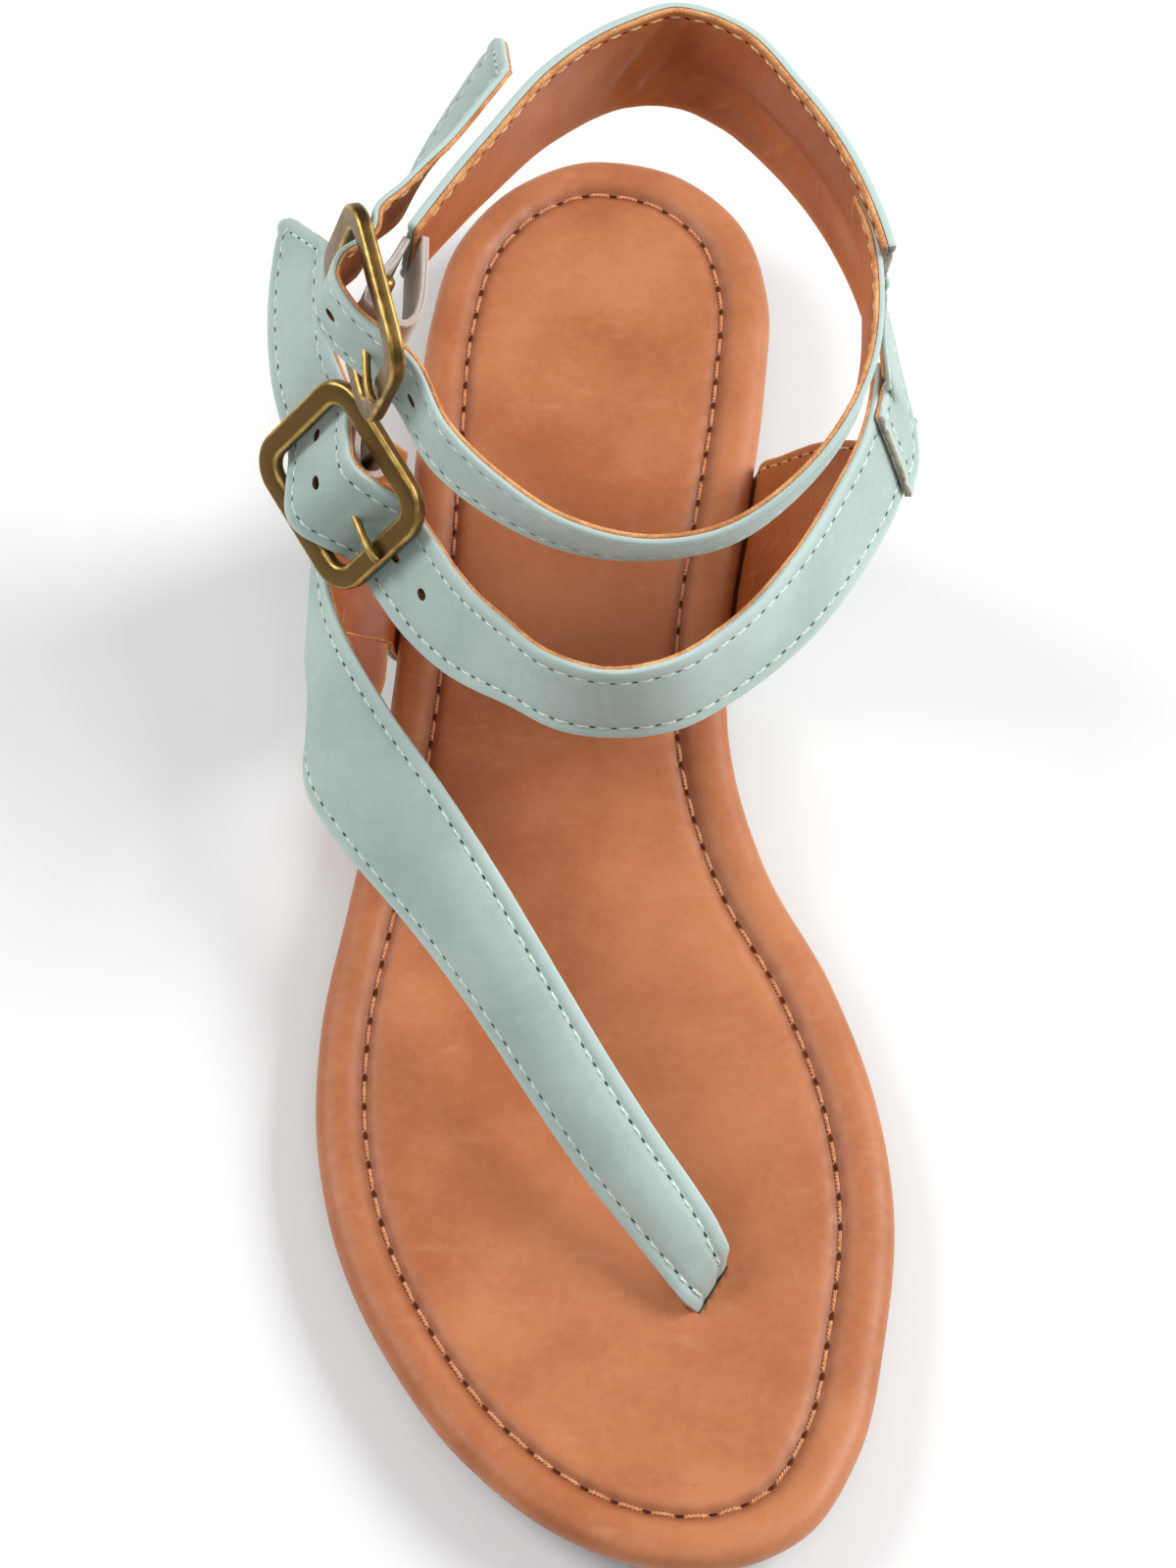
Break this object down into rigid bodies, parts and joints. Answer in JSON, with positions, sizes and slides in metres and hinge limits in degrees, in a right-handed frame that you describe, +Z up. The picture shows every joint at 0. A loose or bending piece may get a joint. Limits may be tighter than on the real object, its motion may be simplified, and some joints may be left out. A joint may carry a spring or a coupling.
{
  "type": "ankle strap sandal",
  "caption": "Flat thong sandal for the right foot: padded tan footbed, pale green leather toe and ankle straps, brass centre-bar buckles on the outer side.",
  "frame": {"origin": "bottom centre of the bounding box, on the floor under the middle of the shoe", "axes": "+Z up, +Y towards the heel along the foot, +X towards the big toe side"},
  "size_m": [0.1036, 0.2494, 0.1023],
  "materials": {
    "outsole_rubber": "matt brown rubber",
    "footbed_leather": "tan leather with a soft sheen",
    "strap_leather": "pale green nubuck, tan lining",
    "buckle_brass": "antique brass, worn bright on the edges"
  },
  "bodies": {
    "root": {"outsole": "outsole_rubber", "footbed": "footbed_leather", "upper_outer": "strap_leather", "upper_inner": "strap_leather", "upper_buckle_frame": "buckle_brass", "upper_buckle_prong": "buckle_brass", "lower_buckle_frame": "buckle_brass", "lower_buckle_prong": "buckle_brass"}
  },
  "joints": []
}
